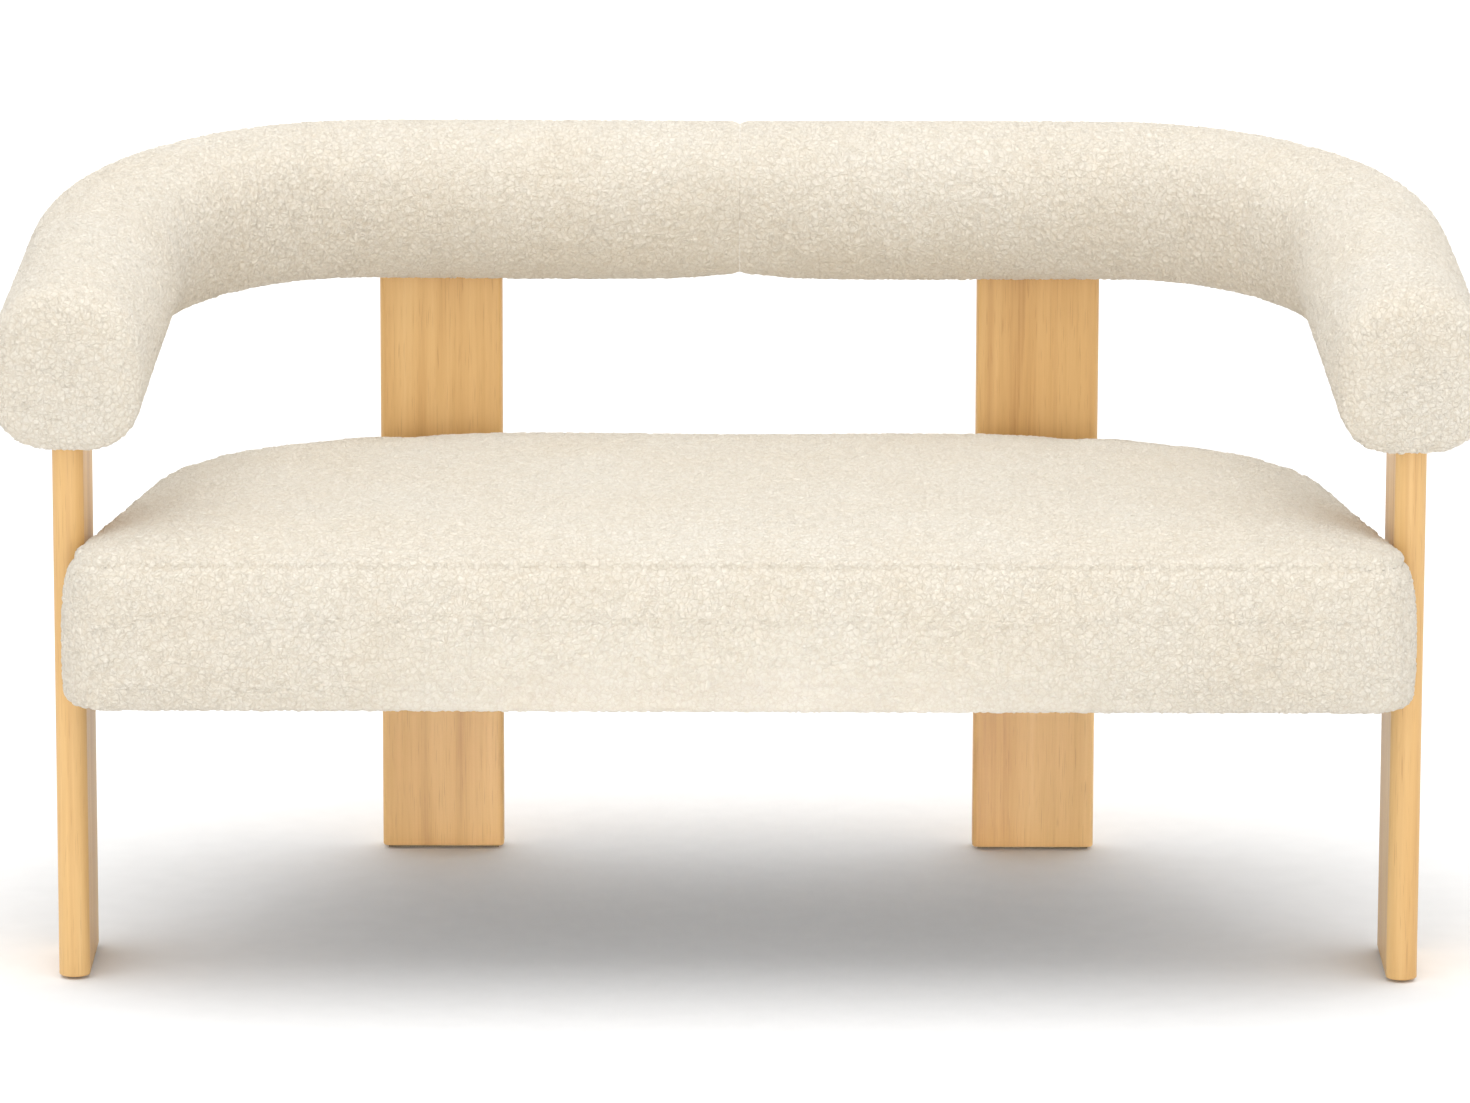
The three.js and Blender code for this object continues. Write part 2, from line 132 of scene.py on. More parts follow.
def vectors_of(items, key):
    flat = np.empty(len(items) * 3, dtype=np.float32)
    items.foreach_get(key, flat)
    return flat.reshape(-1, 3).astype(np.float64)


def points_of(mesh):
    return vectors_of(mesh.vertices, "co")


def normals_of(mesh):
    return vectors_of(mesh.vertices, "normal")


def set_points(mesh, points):
    mesh.vertices.foreach_set("co", np.ascontiguousarray(points, dtype=np.float32).ravel())
    mesh.update()


def applied(piece):
    """Replaces the piece's mesh by what its modifiers make of it."""
    evaluated = piece.evaluated_get(bpy.context.evaluated_depsgraph_get())
    mesh = bpy.data.meshes.new_from_object(evaluated)
    piece.modifiers.clear()
    old = piece.data
    piece.data = mesh
    bpy.data.meshes.remove(old)
    return mesh


def remeshed(piece, voxel):
    """Even quads of about one voxel over the piece's own form."""
    form = new_object(piece.name + "_form", piece.data.copy())
    modifier = piece.modifiers.new("remesh", "REMESH")
    modifier.mode = "VOXEL"
    modifier.voxel_size = voxel
    modifier.adaptivity = 0
    fit = piece.modifiers.new("fit", "SHRINKWRAP")
    fit.target = form
    fit.wrap_method = "NEAREST_SURFACEPOINT"
    mesh = applied(piece)
    bpy.data.objects.remove(form)
    return mesh


def subdivided(piece, levels):
    modifier = piece.modifiers.new("subdivision", "SUBSURF")
    modifier.levels = levels
    modifier.render_levels = levels
    modifier.use_limit_surface = False
    return applied(piece)


# ---- seeded noise on arrays of points ----
def hashed(cells, salt):
    x, y, z = (cells[..., i].astype(np.int64) for i in range(3))
    h = (x * 73856093 ^ y * 19349663 ^ z * 83492791 ^ salt * 2654435761).astype(np.uint32)
    h ^= h >> np.uint32(15)
    h *= np.uint32(0x2C1B3C6D)
    h ^= h >> np.uint32(12)
    h *= np.uint32(0x297A2D39)
    h ^= h >> np.uint32(15)
    return h / 4294967296.0


def noise(points, salt):
    """Gradient noise, about -0.8 to 0.8, with features one unit wide."""
    cell = np.floor(points)
    inside = points - cell
    fade = inside**3 * (inside * (inside * 6 - 15) + 10)
    total = np.zeros(len(points))
    for corner in product((0, 1), repeat=3):
        at = cell + corner
        weight = np.ones(len(points))
        dot = np.zeros(len(points))
        for axis in range(3):
            gradient = hashed(at, salt + 7 * axis) * 2 - 1
            dot += (inside[:, axis] - corner[axis]) * gradient
            weight *= fade[:, axis] if corner[axis] else 1 - fade[:, axis]
        total += dot * weight
    return total


def cells(points, salt):
    """Distances to the two nearest jittered cell centres, and the nearest one's random value."""
    cell = np.floor(points)
    near = np.full(len(points), 9.0)
    second = np.full(len(points), 9.0)
    value = np.zeros(len(points))
    for offset in product((-1, 0, 1), repeat=3):
        at = cell + offset
        square = np.zeros(len(points))
        for axis in range(3):
            square += (at[:, axis] + hashed(at, salt + 11 * axis) - points[:, axis]) ** 2
        distance = np.sqrt(square)
        closer = distance < near
        second = np.where(closer, near, np.minimum(second, distance))
        value = np.where(closer, hashed(at, salt + 101), value)
        near = np.where(closer, distance, near)
    return near, second, value


# ---- cloth ----
def inflated(piece, pinned, cap):
    """Lets cloth swell under pressure from inside. Pinned points stay, and none moves further than cap."""
    mesh = piece.data
    start = points_of(mesh)
    group = piece.vertex_groups.new(name="pinned")
    group.add([int(i) for i in np.nonzero(pinned)[0]], 1.0, "REPLACE")
    cloth = piece.modifiers.new("cloth", "CLOTH")
    settings = cloth.settings
    settings.vertex_group_mass = "pinned"
    settings.use_pressure = True
    settings.uniform_pressure_force = CLOTH_PRESSURE
    settings.quality = 5
    settings.mass = 0.3
    settings.tension_stiffness = 15
    settings.compression_stiffness = 15
    settings.shear_stiffness = 5
    settings.bending_stiffness = 0.5
    settings.effector_weights.gravity = 0
    cloth.collision_settings.use_collision = False
    scene = bpy.context.scene
    for step in range(1, CLOTH_FRAMES + 1):
        scene.frame_set(step)
    mesh = applied(piece)
    scene.frame_set(1)
    piece.vertex_groups.clear()
    moved = points_of(mesh) - start
    length = np.linalg.norm(moved, axis=1)
    kept = cap * np.tanh(length / cap)
    scale = np.divide(kept, length, out=np.ones_like(length), where=length > 1e-9)
    set_points(mesh, start + moved * scale[:, None])


# ---- the bolster's middle line ----
def station(length):
    """Point and direction of the middle line, in the roll's plane, at a length from the back's middle."""
    side = math.copysign(1, length)
    along = abs(length)
    angle = min(max((along - STRAIGHT) / BEND, 0), BEND_ANGLE)
    before = min(along, STRAIGHT)
    after = max(along - STRAIGHT - BEND_LENGTH, 0)
    x = before + BEND * math.sin(angle) + after * math.cos(angle)
    y = -BEND * (1 - math.cos(angle)) - after * math.sin(angle)
    return Vector((side * x, y, 0)), Vector((math.cos(angle), -side * math.sin(angle), 0))


def end_edge(height):
    """The rounding of the bolster's end at a height above its middle line."""
    low, high = END_EDGE
    return low + (high - low) * np.clip(0.5 + 0.5 * height / HALF_TALL, 0, 1)


def end_sag(length, y):
    """How much further out the section's lower half lies, at a length along the bolster."""
    share = min(max((abs(length) - ROLL_LENGTH + END_SAG_REACH) / END_SAG_REACH, 0), 1)
    return END_SAG * share * share * (3 - 2 * share) if y < 0 else 0


def in_roll(points):
    """World points in the roll's own frame."""
    inverse = np.array(ROLL_FRAME.inverted())
    return points @ inverse[:3, :3].T + inverse[:3, 3]


def along_roll(points):
    """Signed length along the middle line, from the middle of the back, nearest to each world point."""
    local = in_roll(points)
    x, y = np.abs(local[:, 0]), local[:, 1]
    angle = np.arctan2(x - STRAIGHT, y + BEND)
    end_point, end_way = station(STRAIGHT + BEND_LENGTH)
    beyond = (x - end_point.x) * end_way.x + (y - end_point.y) * end_way.y
    length = np.where(x < STRAIGHT, x, STRAIGHT + BEND * angle)
    length = np.where((x > STRAIGHT) & (angle > BEND_ANGLE), STRAIGHT + BEND_LENGTH + beyond, length)
    return np.sign(local[:, 0]) * length


def round_roll(points):
    """For world points near the bolster: angle round its section, distance from its middle line, and
    outward direction."""
    local = in_roll(points)
    lengths = along_roll(points)
    stations = [station(v) for v in np.linspace(-END_START, END_START, STATIONS + 1)]
    share = (lengths + END_START) / (2 * END_START)
    index = np.clip((share * STATIONS).round().astype(int), 0, STATIONS)
    middle = np.array([p for p, _ in stations])[index]
    way = np.array([t for _, t in stations])[index]
    outward = np.stack([-way[:, 1], way[:, 0], np.zeros(len(way))], axis=1)
    across = ((local - middle) * outward).sum(axis=1)
    radial = outward * across[:, None]
    radial[:, 2] = local[:, 2]
    reach = np.linalg.norm(radial, axis=1)
    edge = end_edge(local[:, 2])
    turn = np.arcsin(np.clip((np.abs(lengths) - ROLL_LENGTH + edge) / edge, 0, math.sin(END_TURN)))
    past = way * np.sign(lengths)[:, None]
    direction = radial / np.maximum(reach, 1e-6)[:, None] * np.cos(turn)[:, None]
    direction += past * np.sin(turn)[:, None]
    return np.arctan2(local[:, 2], across), reach, direction @ np.array(ROLL_FRAME)[:3, :3].T


def section_points(count):
    """Evenly spaced points round a unit section between a circle and a square."""
    turns = np.linspace(0, 2 * math.pi, 4001)
    power = np.where(turns > math.pi, 2 / SQUARENESS[0], 2 / SQUARENESS[1])
    x = np.sign(np.cos(turns)) * np.abs(np.cos(turns)) ** power
    y = np.sign(np.sin(turns)) * np.abs(np.sin(turns)) ** power
    lengths = np.concatenate([[0], np.cumsum(np.hypot(np.diff(x), np.diff(y)))])
    marks = np.linspace(0, lengths[-1], count, endpoint=False)
    return list(zip(np.interp(marks, lengths, x), np.interp(marks, lengths, y)))


CLOSING = [0.012, 0.030, 0.050]  # how far in the rings lie that close a panel's open ends


def tube(name, start, end, inset, step, rounded):
    """A closed stretch of the bolster between two lengths along it. A rounded one turns in at its far end."""
    around = round(2 * math.pi * HALF_TALL * 1.06 / step)
    side = math.copysign(1, end)
    count = max(round(abs(end - start) / step), 2)
    rings = [(start, inset + more, None) for more in reversed(CLOSING)]  # length, inset, turn round the end
    rings += [(start + (end - start) * i / count, inset, None) for i in range(count + 1)]
    rims = [len(CLOSING), len(rings) - 1]
    if rounded:
        rings += [(0, inset, END_TURN * i / 4) for i in range(5)]
        rims[1] = len(rings) - 1
    rings += [(rings[-1][0], inset + more, rings[-1][2]) for more in CLOSING[: 2 if rounded else 3]]
    points = []
    section = section_points(around)
    for length, drawn, turn in rings:
        for x, y in section:
            at, inward = length, drawn
            if turn is not None:
                edge = float(end_edge(y * HALF_TALL))
                at = side * (ROLL_LENGTH - edge + edge * math.sin(turn))
                inward = drawn + edge * (1 - math.cos(turn))
            middle, way = station(at)
            outward = Vector((-way.y, way.x, 0)) * (HALF_WIDE - inward)
            tall = HALF_TALL - inward + end_sag(at, y)
            points.append(ROLL_FRAME @ (middle + outward * x + Vector((0, 0, tall * y))))
    mesh = mesh_from(name, points, ring_faces(len(rings), around))
    rim_points = [range(rim * around, (rim + 1) * around) for rim in rims]
    sharpen_rims(mesh, [set(rim) for rim in rim_points])
    fix_normals(mesh)
    return new_object(name, mesh), [index for rim in rim_points for index in rim]


def sharpen_rims(mesh, rims):
    """Creases the seam rings, so that subdivision keeps them where they are."""
    crease = mesh.attributes.new("crease_edge", "FLOAT", "EDGE")
    values = [float(any(set(edge.vertices) <= rim for rim in rims)) for edge in mesh.edges]
    crease.data.foreach_set("value", values)


def keep_rims_sharp(mesh):
    """Shades each side of a creased rim by itself."""
    crease = mesh.attributes.get("crease_edge")
    values = np.zeros(len(mesh.edges), dtype=np.float32)
    crease.data.foreach_get("value", values)
    sharp = mesh.attributes.new("sharp_edge", "BOOLEAN", "EDGE")
    sharp.data.foreach_set("value", values > 0.5)


def fix_normals(mesh):
    bm = bmesh.new()
    bm.from_mesh(mesh)
    bmesh.ops.recalc_face_normals(bm, faces=bm.faces)
    bm.to_mesh(mesh)
    bm.free()
    mesh.update()


# low and high corner of each leg
LEG_ROOMS = [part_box(f"leg_{end}_{side}") for end in ("front", "rear") for side in SIDES]


# ---- bouclé ----
NUB = 0.0050  # size of one loop of the pile
NUB_HEIGHT = 0.0016


def smooth(values):
    """0 below 0 and 1 above 1, with an even rise between."""
    values = np.clip(values, 0, 1)
    return values * values * (3 - 2 * values)


def boucle_height(points, stretch, salt):
    """Height of the looped pile at points, and how clear each is of the gaps between loops."""
    scaled = points / NUB / np.array(stretch)
    warp = np.stack([noise(scaled * 0.5 + 31.7 * k, salt + k) for k in range(3)], axis=1) * 1.3
    warp += np.stack([noise(scaled * 1.4 + 17.3 * k, salt + 5 + k) for k in range(3)], axis=1) * 0.45
    near, second, value = cells(scaled + warp, salt + 20)
    clear = smooth((second - near) / 0.38)
    dome = 1 - np.clip(near / 0.95, 0, 1) ** 2
    return clear * (0.5 + 0.5 * dome) * (0.75 + 0.4 * value), clear


def piled(piece, stretch, salt, flat, directions=None):
    """Raises the looped pile on a piece, and keeps its gaps for the material. flat is 1 where it is
    pressed down."""
    mesh = piece.data
    points = points_of(mesh)
    if directions is None:
        directions = normals_of(mesh)
    height, clear = boucle_height(points, stretch, salt)
    rise = (height * (1 - flat) - 0.45) * NUB_HEIGHT
    set_points(mesh, points + directions * rise[:, None])
    # How clear each point is of the gaps between loops. The material darkens the gaps with it as painted
    # shade.
    layer = mesh.attributes.new("pile", "FLOAT", "POINT")
    layer.data.foreach_set("value", clear.astype(np.float32))
    for polygon in mesh.polygons:
        polygon.use_smooth = True


def bump(distance, width):
    """1 at no distance, and falling away over about one width."""
    return np.exp(-((distance / width) ** 2))


def add_uv(mesh, u, v, period=None):
    """A texture layout from one u and v per point. A u that wraps round is unwrapped within each face."""
    layer = mesh.uv_layers.new(name="OFBake")
    corners = np.empty(len(mesh.loops), dtype=np.int64)
    mesh.loops.foreach_get("vertex_index", corners)
    starts = np.empty(len(mesh.polygons), dtype=np.int64)
    mesh.polygons.foreach_get("loop_start", starts)
    totals = np.empty(len(mesh.polygons), dtype=np.int64)
    mesh.polygons.foreach_get("loop_total", totals)
    cu, cv = u[corners].copy(), v[corners]
    if period:
        face = np.repeat(np.arange(len(starts)), totals)
        first = cu[starts][face]
        cu += np.round((first - cu) / period) * period
    cu = (cu - cu.min()) / max(np.ptp(cu), 1e-6)
    cv = (cv - cv.min()) / max(np.ptp(cv), 1e-6)
    layer.data.foreach_set("uv", np.stack([cu, cv], axis=1).astype(np.float32).ravel())


def dip_by_legs(points):
    """How much the cloth is drawn in beside a leg that passes through it: 1 at the leg's faces."""
    drawn = np.zeros(len(points))
    for low, high in LEG_ROOMS:
        dx = np.maximum(np.maximum(low.x - points[:, 0], points[:, 0] - high.x), 0)
        dy = np.maximum(np.maximum(low.y - points[:, 1], points[:, 1] - high.y), 0)
        distance = np.hypot(dx, dy)
        below = points[:, 2] < high.z + 0.02
        drawn = np.maximum(drawn, np.where(below, bump(distance, LEG_DIP_WIDTH), 0))
    return drawn


# ---- bolster panels ----
TUBE_STEP = 0.0085
SEAM_WIDTH = 0.005
SEAM_DEPTH = 0.0021
END_SEAM_WIDTH = 0.003
END_SEAM_DEPTH = 0.0015
LEG_DIP_WIDTH = 0.006
LEG_DIP_DEPTH = 0.003
CLOSING_HELD = 0.028  # deeper than this, the faces that close a rounded end are held
CLOSING_BARE = 0.030  # deeper than this, they carry no pile
ROLL_SWELL = 0.0030  # how much smaller a panel starts than it ends
BOLSTER_SALT = 100  # seeds of the pile
SEAT_SALT = 500


def roll_panel(name, start, end, nodes, rounded=False):
    """One upholstery panel of the bolster, from seam to seam."""
    piece, rim = tube(name, start, end, ROLL_SWELL, TUBE_STEP, rounded)
    count = len(piece.data.vertices)
    pinned = np.zeros(count, dtype=bool)
    pinned[rim] = True
    lengths = np.abs(along_roll(points_of(piece.data)))
    near, far = sorted((abs(start), abs(end)))
    pinned |= lengths < near + CLOSE
    _, reach, _ = round_roll(points_of(piece.data))
    pinned |= (lengths > far - CLOSE) & (reach < HALF_WIDE - CLOSING_HELD if rounded else True)
    inflated(piece, pinned, ROLL_CAP)
    mesh = subdivided(piece, 2)
    points = points_of(mesh)
    keep_rims_sharp(mesh)
    lengths = np.abs(along_roll(points))
    _, reach, normals = round_roll(points)
    normals[reach < HALF_WIDE - CLOSING_BARE] = 0
    seams = [near] if rounded else [near, far]
    groove = sum(bump(lengths - seam, SEAM_WIDTH) for seam in seams) * SEAM_DEPTH
    if rounded:
        edge = end_edge(in_roll(points)[:, 2])
        seam_at = ROLL_LENGTH - edge * (1 - math.sin(END_TURN))
        groove += bump(lengths - seam_at, END_SEAM_WIDTH) * (lengths > far) * END_SEAM_DEPTH
    drawn = dip_by_legs(points) * (normals[:, 2] < 0.2)
    waist = WAIST[0] * bump(lengths, WAIST[1]) * np.clip(-normals[:, 2], 0, 1)
    set_points(mesh, points - normals * (groove + waist + drawn * LEG_DIP_DEPTH)[:, None])
    flat = np.clip(groove / 0.003 * 0.5 + drawn * 0.4, 0, 0.6)
    points = points_of(mesh)
    turn, _, _ = round_roll(points)
    piled(piece, (1, 1, 1), BOLSTER_SALT, flat, normals)
    add_uv(mesh, turn * HALF_TALL, along_roll(points), 2 * math.pi * HALF_TALL)
    dress(piece, MATERIALS["boucle"], nodes)
    return piece


def end_frame(sign):
    """Place of the bolster's end: y runs out along the arm from its furthest face."""
    middle, way = station(sign * ROLL_LENGTH)
    outward = way * sign
    across = outward.cross(Vector((0, 0, 1)))
    place = Matrix((across, outward, Vector((0, 0, 1)))).transposed().to_4x4()
    place.translation = middle
    return ROLL_FRAME @ place


def end_cap(name, sign, nodes):
    """The round panel that closes the bolster's end."""
    place = end_frame(sign)
    dome = 0.0030
    back = -0.018
    profile = [  # distance inside the seam's ring, distance out from it
        (0.040, back),
        (0.020, back),
        (0.006, back),
        (0.0005, back + 0.006),
        (0, 0),
        (0.004, 0.0010),
        (0.014, dome * 0.75),
        (0.034, dome),
    ]
    around = 60
    section = section_points(around)
    points = []
    for drawn, out in profile:
        for x, z in section:
            edge = float(end_edge(z * HALF_TALL))
            inset = ROLL_SWELL + edge * (1 - math.cos(END_TURN)) + drawn
            y = out - edge * (1 - math.sin(END_TURN))
            tall = HALF_TALL - inset + end_sag(ROLL_LENGTH, z)
            points.append(place @ Vector(((HALF_WIDE - inset) * x, y, tall * z)))
    mesh = mesh_from(name, points, ring_faces(len(profile), around))
    fix_normals(mesh)
    piece = new_object(name, mesh)
    remeshed(piece, CAP_VOXEL)
    inverse = np.array(place.inverted())

    def local(points):
        return points @ inverse[:3, :3].T + inverse[:3, 3]

    at = local(points_of(piece.data))

    def off_seam(at):
        return at[:, 1] + end_edge(at[:, 2]) * (1 - math.sin(END_TURN))

    inflated(piece, off_seam(at) < 0.0008, END_CAP)
    mesh = subdivided(piece, 1)
    points = points_of(mesh)
    at = local(points)
    normals = normals_of(mesh)
    rim = bump(off_seam(at), 0.0025)
    set_points(mesh, points - normals * (rim * 0.0008)[:, None])
    piled(piece, (1, 1, 1), BOLSTER_SALT, rim * 0.4)
    turn = np.arctan2(at[:, 2], at[:, 0])
    reach = np.hypot(at[:, 0], at[:, 2]) + np.abs(at[:, 1])
    add_uv(mesh, reach * np.cos(turn), reach * np.sin(turn))
    dress(piece, MATERIALS["boucle"], nodes)
    return piece


# ---- seat ----
def seat_outline(step):
    """Points of the seat's plan, anticlockwise from the front's right end, and their outward ways."""
    fx, fy, fr = FRONT_CORNER
    rx, ry, rr = REAR_CORNER
    splay = math.acos((rr - fr) / math.hypot(fx - rx, fy - ry)) + math.atan2(fy - ry, fx - rx)
    arcs = [
        (fx, fy, fr, -math.pi / 2, splay),
        (rx, ry, rr, splay, math.pi / 2),
        (-rx, ry, rr, math.pi / 2, math.pi - splay),
        (-fx, fy, fr, math.pi - splay, math.pi * 1.5),
    ]
    marks = []
    for x, y, radius, first, last in arcs:
        count = max(round(radius * (last - first) / step), 4)
        for i in range(count + 1):
            angle = first + (last - first) * i / count
            way = (math.cos(angle), math.sin(angle))
            marks.append(((x + radius * way[0], y + radius * way[1]), way))
    outline = []
    for i, (point, way) in enumerate(marks):
        outline.append((point, way))
        following = marks[(i + 1) % len(marks)][0]
        gap = math.dist(point, following)
        extra = int(gap / step)
        if gap > 1.5 * step:
            for k in range(1, extra):
                t = k / extra
                between = tuple(a * (1 - t) + b * t for a, b in zip(point, following))
                outline.append((between, way))
    kept = []
    for point, way in outline:
        if not kept or math.dist(kept[-1][0], point) > 1e-5:
            kept.append((point, way))
    return np.array([p for p, _ in kept]), np.array([w for _, w in kept])


OUTLINE, OUTWARD = seat_outline(0.004)


def outline_distance(points):
    """Distance inside the seat's outline in plan, and the length along the outline of the nearest point."""
    following = np.roll(OUTLINE, -1, axis=0)
    lengths = np.concatenate([[0], np.cumsum(np.linalg.norm(following - OUTLINE, axis=1))[:-1]])
    distance = np.empty(len(points))
    along = np.empty(len(points))
    for low in range(0, len(points), 4096):
        part = points[low : low + 4096, None, :2] - OUTLINE[None]
        index = (part**2).sum(axis=2).argmin(axis=1)
        way = OUTWARD[index]
        row = np.arange(len(index))
        distance[low : low + 4096] = -(part[row, index] * way).sum(axis=1)
        sideways = np.stack([-way[:, 1], way[:, 0]], axis=1)
        along[low : low + 4096] = lengths[index] + (part[row, index] * sideways).sum(axis=1)
    return distance, along


def clear_of_legs(points, gap=0.0002):
    """Seat points pushed out of the legs."""
    points = points.copy()
    for low, high in LEG_ROOMS:
        if low.y > 0:
            inside = (points[:, 0] > low.x - gap) & (points[:, 0] < high.x + gap)
            inside &= points[:, 1] > low.y - gap
            points[inside, 1] = low.y - gap
        else:
            side = math.copysign(1, low.x)
            inner = min(abs(low.x), abs(high.x)) - gap
            inside = (points[:, 1] > low.y - gap) & (points[:, 1] < high.y + gap)
            inside &= points[:, 0] * side > inner
            points[inside, 0] = side * inner
    return points


SEAT_EDGE = [  # the start form's profile: inset from the outline, height
    (0.0300, 0.2885),
    (0.0150, 0.2882),
    (0.0070, 0.2890),
    (0.0025, 0.2925),
    (0.0005, 0.2990),
    (-0.0008, 0.3250),
    (-0.0010, 0.3600),
    (0.0005, 0.3900),
    (0.0030, 0.4100),
    (0.0062, 0.4220),
    SEAT_SEAM,
    (0.0130, 0.4385),
    (0.0230, 0.4430),
    (0.0420, 0.4462),
]


def seat_body():
    """The start form of the whole seat, before it swells."""
    points = []
    count = len(OUTLINE)
    for inset, z in SEAT_EDGE:
        ring = OUTLINE - OUTWARD * inset
        ring = clear_of_legs(np.column_stack([ring, np.full(count, z)]))
        points += [tuple(p) for p in ring]
    mesh = mesh_from("seat", points, ring_faces(len(SEAT_EDGE), count))
    fix_normals(mesh)
    return new_object("seat", mesh)


def split_off(piece, name, keep):
    """A copy of the piece's faces that keep says yes to, with its open edges closed by flat faces inside."""
    bm = bmesh.new()
    bm.from_mesh(piece.data)
    bm.faces.ensure_lookup_table()
    bmesh.ops.delete(bm, geom=[f for f, k in zip(bm.faces, keep) if not k], context="FACES")
    rims = {}
    for edge in [e for e in bm.edges if e.is_boundary]:
        middle = (edge.verts[0].co.z + edge.verts[1].co.z) / 2
        rims.setdefault("top" if middle > 0.4 else "bottom", []).append(edge)
    for place, edges in rims.items():
        for edge in edges:
            edge.smooth = False
        if place == "bottom":
            made = bmesh.ops.extrude_edge_only(bm, edges=edges)["geom"]
            lifted = [g for g in made if isinstance(g, bmesh.types.BMVert)]
            bmesh.ops.translate(bm, verts=lifted, vec=(0, 0, HEM))
            edges = [g for g in made if isinstance(g, bmesh.types.BMEdge)]
        bmesh.ops.contextual_create(bm, geom=edges)
    bmesh.ops.recalc_face_normals(bm, faces=bm.faces)
    mesh = bpy.data.meshes.new(name)
    bm.to_mesh(mesh)
    bm.free()
    return new_object(name, mesh)


def seam_distance(points, inset):
    """Distance from the seam between the seat's top panel and its band."""
    return np.hypot(points[:, 2] - SEAT_SEAM[1], inset - SEAT_SEAM[0])


def add_seat():
    """The seat, swelled as one body and parted at its seam into the top panel and the band."""
    body = seat_body()
    remeshed(body, SEAT_VOXEL)
    points = points_of(body.data)
    inset, _ = outline_distance(points)
    seam = seam_distance(points, inset) < SEAM_PINNED
    under = points[:, 2] < UNDERSIDE
    inflated(body, seam | under, SEAT_CAP)
    mesh = subdivided(body, 2)
    points = points_of(mesh)
    inset, _ = outline_distance(points)
    normals = normals_of(mesh)
    groove = bump(seam_distance(points, inset), SEAM_WIDTH) * SEAM_DEPTH
    set_points(mesh, clear_of_legs(points - normals * groove[:, None]))
    piled(body, (1.3, 1, 0.9), SEAT_SALT, bump(seam_distance(points, inset), SEAM_WIDTH) * 0.3)
    centres = vectors_of(mesh.polygons, "center")
    face_inset, _ = outline_distance(centres)
    above = (centres[:, 2] - SEAT_SEAM[1]) > -(face_inset - SEAT_SEAM[0]) * 0.6
    above &= centres[:, 2] > SEAT_MIDDLE
    hidden = (centres[:, 2] < UNDERSIDE) & (face_inset > DUST_INSET + 0.001)
    for name, keep, nodes in (
        ("seat_top_panel", above, ["seat_cover_top"]),
        ("seat_band", ~above & ~hidden, ["seat_cover_band", "seat_foam"]),
    ):
        piece = split_off(body, name, keep)
        mesh = piece.data
        points = points_of(mesh)
        inset, along = outline_distance(points)
        if name == "seat_top_panel":
            add_uv(mesh, points[:, 0], points[:, 1])
        else:
            period = np.linalg.norm(np.roll(OUTLINE, -1, axis=0) - OUTLINE, axis=1).sum()
            add_uv(mesh, along, points[:, 2] - np.where(points[:, 2] < 0.3, inset, 0), period)
        dress(piece, MATERIALS["boucle"], nodes)
    bpy.data.objects.remove(body)


def add_dust_sheet():
    """The thin cloth stapled under the seat: taut at its turned edge, hanging a little in the middle."""
    edge = OUTLINE - OUTWARD * (DUST_INSET - DUST_LAP)
    centre = np.array([0, -0.06])
    low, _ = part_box("seat_dust_cloth")
    shares = [1, 0.992, 0.975, 0.95, *np.linspace(0.91, 0.07, 22)]
    points = [(*centre, 0)]
    for share in shares:
        points += [(x, y, 0) for x, y in centre + (edge - centre) * share]
    points = np.array(points)
    count = len(edge)
    reach = np.concatenate([[0], np.repeat(shares, count)])
    inner = 1 - smooth((reach - 0.9) / 0.1)
    creases = noise(points * (9, 14, 1), 71) + 0.5 * noise(points * (30, 34, 1), 72)
    points[:, 2] = low.z - 0.0014 - inner * (0.0016 + 0.0012 * creases) - 0.0012 * (1 - reach**2)
    innermost = 1 + (len(shares) - 1) * count
    faces = [(0, innermost + (j + 1) % count, innermost + j) for j in range(count)]
    for i in range(len(shares) - 1):
        for j in range(count):
            a, b = 1 + i * count + j, 1 + i * count + (j + 1) % count
            faces.append((a, a + count, b + count, b))
    mesh = mesh_from("seat_dust_sheet", points, faces)
    piece = new_object("seat_dust_sheet", mesh)
    thick = piece.modifiers.new("thickness", "SOLIDIFY")
    thick.thickness = 0.0006
    thick.offset = 0
    mesh = applied(piece)
    for polygon in mesh.polygons:
        polygon.use_smooth = True
    mesh.materials.append(MATERIALS["dust"])
    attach(piece, "root")
    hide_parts("seat_dust_cloth")


# ---- legs ----
def slab_outline(wide, inset):
    """A rear leg's section: a rectangle with round corners."""
    radius = LEG_CORNER - min(inset, LEG_CORNER - 0.001)
    x, y = wide / 2 - inset - radius, LEG_THICK / 2 - inset - radius
    points = []
    for quarter, (sx, sy) in enumerate(((1, 1), (-1, 1), (-1, -1), (1, -1))):
        for i in range(9):
            angle = math.pi / 2 * (quarter + i / 8)
            points.append((sx * x + radius * math.cos(angle), sy * y + radius * math.sin(angle)))
    return points


def nosed_outline(wide, inset):
    """A front leg's section: its narrow edges swell out as arcs."""
    half, nose = LEG_THICK / 2 - inset, LEG_NOSE - inset * 0.3
    radius = (half * half + nose * nose) / (2 * nose)
    centre = wide / 2 - inset - radius
    reach = math.asin(half / radius)
    points = []
    for sign in (1, -1):
        for i in range(25):
            angle = sign * math.pi / 2 - reach + 2 * reach * i / 24
            points.append((radius * math.cos(angle), sign * centre + radius * math.sin(angle)))
    return points


